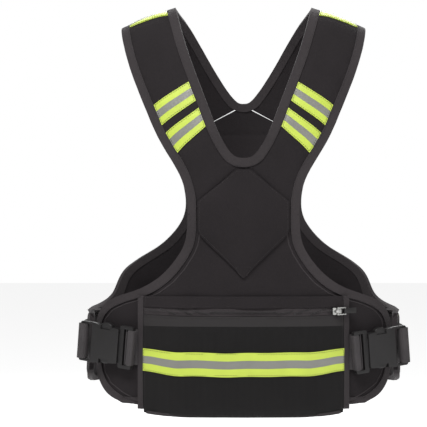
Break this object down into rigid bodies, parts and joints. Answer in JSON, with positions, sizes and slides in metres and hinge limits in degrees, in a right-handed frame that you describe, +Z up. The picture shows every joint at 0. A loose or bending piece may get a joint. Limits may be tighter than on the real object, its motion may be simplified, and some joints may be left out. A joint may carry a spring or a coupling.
{
  "type": "weighted vest",
  "caption": "Black padded weighted vest as worn: broad straps over the shoulders, diamond chest patch, zipped front pouch, reflective tapes, and side webbing fastened by buckles.",
  "frame": {"origin": "midway between the two places where the straps' undersides rest on the shoulders", "axes": "+Z up, +X to the right as seen from the front, the front faces -Y"},
  "size_m": [0.4294, 0.2482, 0.5293],
  "materials": {
    "neoprene": "matte padded neoprene",
    "edging": "soft sheen tape",
    "mesh_cloth": "fine black mesh",
    "webbing": "woven",
    "reflective": "fluorescent lime with a silver middle",
    "buckle_plastic": "fine grain",
    "slider_metal": "satin"
  },
  "bodies": {
    "root": {"front_panel": "neoprene", "back_panel": "neoprene", "shoulder_strap_left": "neoprene", "shoulder_strap_right": "neoprene", "chest_diamond": "neoprene", "armhole_binding_left": "edging", "armhole_binding_right": "edging", "neck_binding": "edging", "front_hem_binding": "edging", "back_hem_binding": "edging", "strap_tape_upper_left": "reflective", "strap_tape_upper_right": "reflective", "strap_tape_lower_left": "reflective", "strap_tape_lower_right": "reflective", "crest_tape_left": "reflective", "crest_tape_right": "reflective", "back_stripe": "reflective", "inner_pocket_left": "neoprene", "inner_pocket_centre": "neoprene", "inner_pocket_right": "neoprene", "pocket_top_band": "neoprene", "pocket_zip": "edging", "pocket_lower_panel": "mesh_cloth", "pocket_stripe": "reflective", "pocket_binding_left": "edging", "pocket_binding_right": "edging", "buckle_male_left": "buckle_plastic", "buckle_male_right": "buckle_plastic", "buckle_female_left": "buckle_plastic", "buckle_female_right": "buckle_plastic", "front_webbing_left": "webbing", "front_webbing_right": "webbing", "side_webbing_left": "webbing", "side_webbing_right": "webbing", "zip_slider": "slider_metal"},
    "pull": {"zip_pull": "slider_metal", "zip_tail": "buckle_plastic"}
  },
  "joints": [
    {"name": "zip_pull_hinge", "type": "hinge", "parent": "root", "child": "pull", "pos_m": [0.11829, -0.11403, -0.37578], "axis": [0.0268, 0.0103, -0.9996], "range_deg": [0, 150]}
  ]
}
